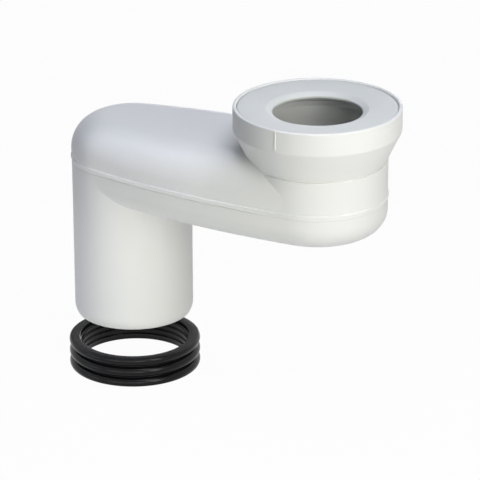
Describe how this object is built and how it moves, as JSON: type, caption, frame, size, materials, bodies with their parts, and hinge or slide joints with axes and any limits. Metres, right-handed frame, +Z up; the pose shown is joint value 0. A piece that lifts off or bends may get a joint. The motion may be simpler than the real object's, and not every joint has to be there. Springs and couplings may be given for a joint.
{
  "type": "offset pan connector",
  "caption": "Hollow offset waste bend: flat rounded chamber with a plain spigot below one end, a flared socket with a soft lip seal above the other, and a ribbed rubber ring.",
  "frame": {"origin": "on the outlet spigot's axis, where the spigot reaches its full diameter just above its lead-in", "axes": "+Z up along both pipe axes, +X from the outlet spigot towards the inlet socket"},
  "size_m": [0.3312, 0.151, 0.2892],
  "materials": {
    "body": "satin moulded polypropylene, warm white",
    "seal": "smooth soft elastomer, cool white",
    "ring": "black ribbed rubber, satin lips and matte faces"
  },
  "bodies": {
    "root": {"upper_shell": "body", "lower_shell": "body", "pan_seal": "seal", "spigot_ring": "ring"}
  },
  "joints": []
}
